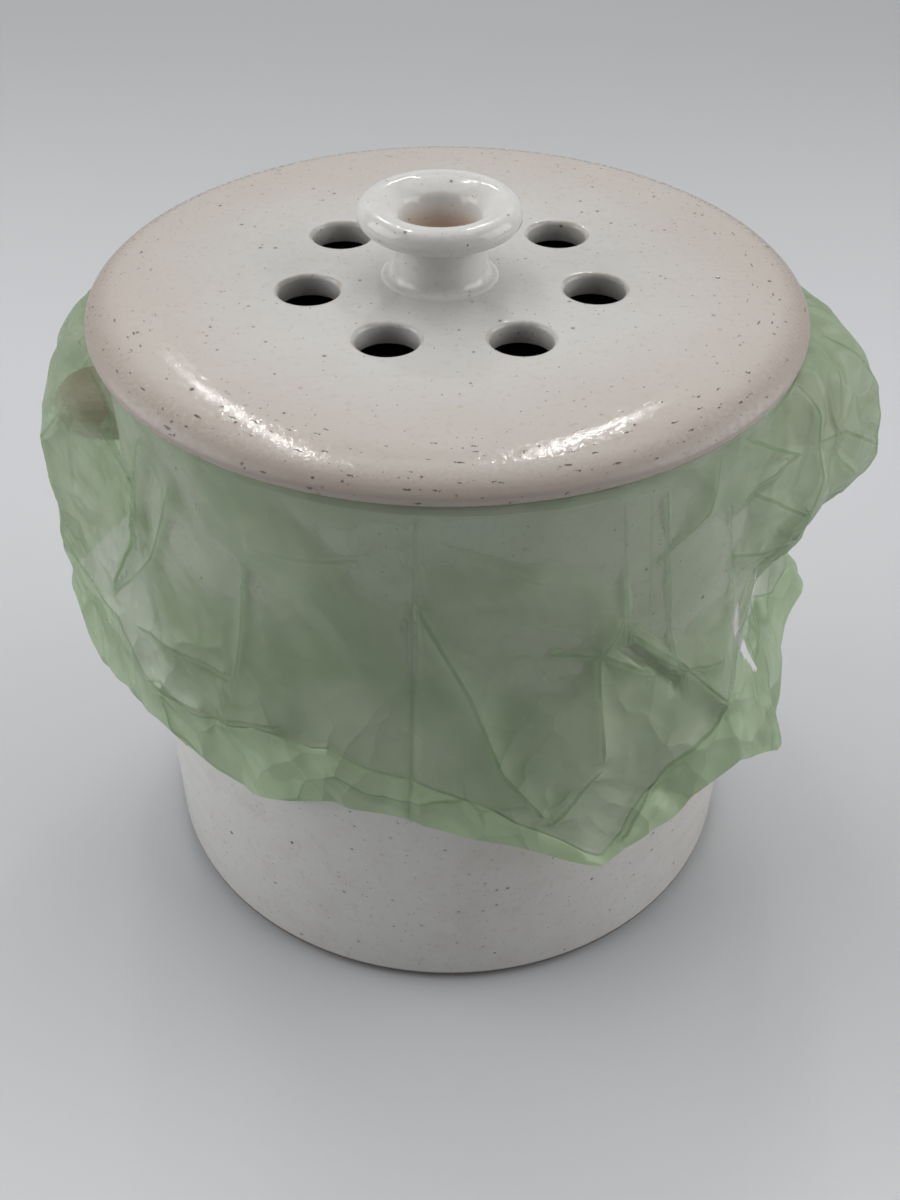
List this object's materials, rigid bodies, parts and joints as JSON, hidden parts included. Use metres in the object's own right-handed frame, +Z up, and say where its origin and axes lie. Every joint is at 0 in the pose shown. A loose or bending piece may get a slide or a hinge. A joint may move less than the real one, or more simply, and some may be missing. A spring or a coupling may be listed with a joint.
{
  "type": "compost caddy",
  "caption": "Round stoneware compost caddy with a vented lift-off lid, hollow spool knob, side lugs, charcoal filter and a film liner turned down over the rim.",
  "frame": {"origin": "centre of the flat base, on the surface that the crock stands on", "axes": "+Z up along the crock's axis, -Y to the front, +X through the right lug"},
  "size_m": [0.2834, 0.2327, 0.239],
  "materials": {
    "crock_glaze": "satin",
    "lug_glaze": "satin",
    "lid_glaze": "satin",
    "knob_glaze": "gloss",
    "bare_clay": "matte",
    "charcoal": "matte",
    "film": "satin"
  },
  "bodies": {
    "crock": {"crock_body": "crock_glaze", "lug_left": "lug_glaze", "lug_right": "lug_glaze"},
    "liner": {"liner_pouch": "film", "liner_cuff": "film"},
    "lid": {"lid_plate": "lid_glaze", "lid_collar": "bare_clay", "lid_knob": "knob_glaze"},
    "filter": {"charcoal_filter": "charcoal"}
  },
  "joints": [
    {"name": "liner_lift", "type": "slide", "parent": "crock", "child": "liner", "axis": [0, 0, 1], "range_m": [0, 0.21]},
    {"name": "lid_lift", "type": "slide", "parent": "liner", "child": "lid", "axis": [0, 0, 1], "range_m": [0, 0.1]},
    {"name": "filter_pull", "type": "slide", "parent": "lid", "child": "filter", "axis": [0, 0, -1], "range_m": [0, 0.03]}
  ]
}
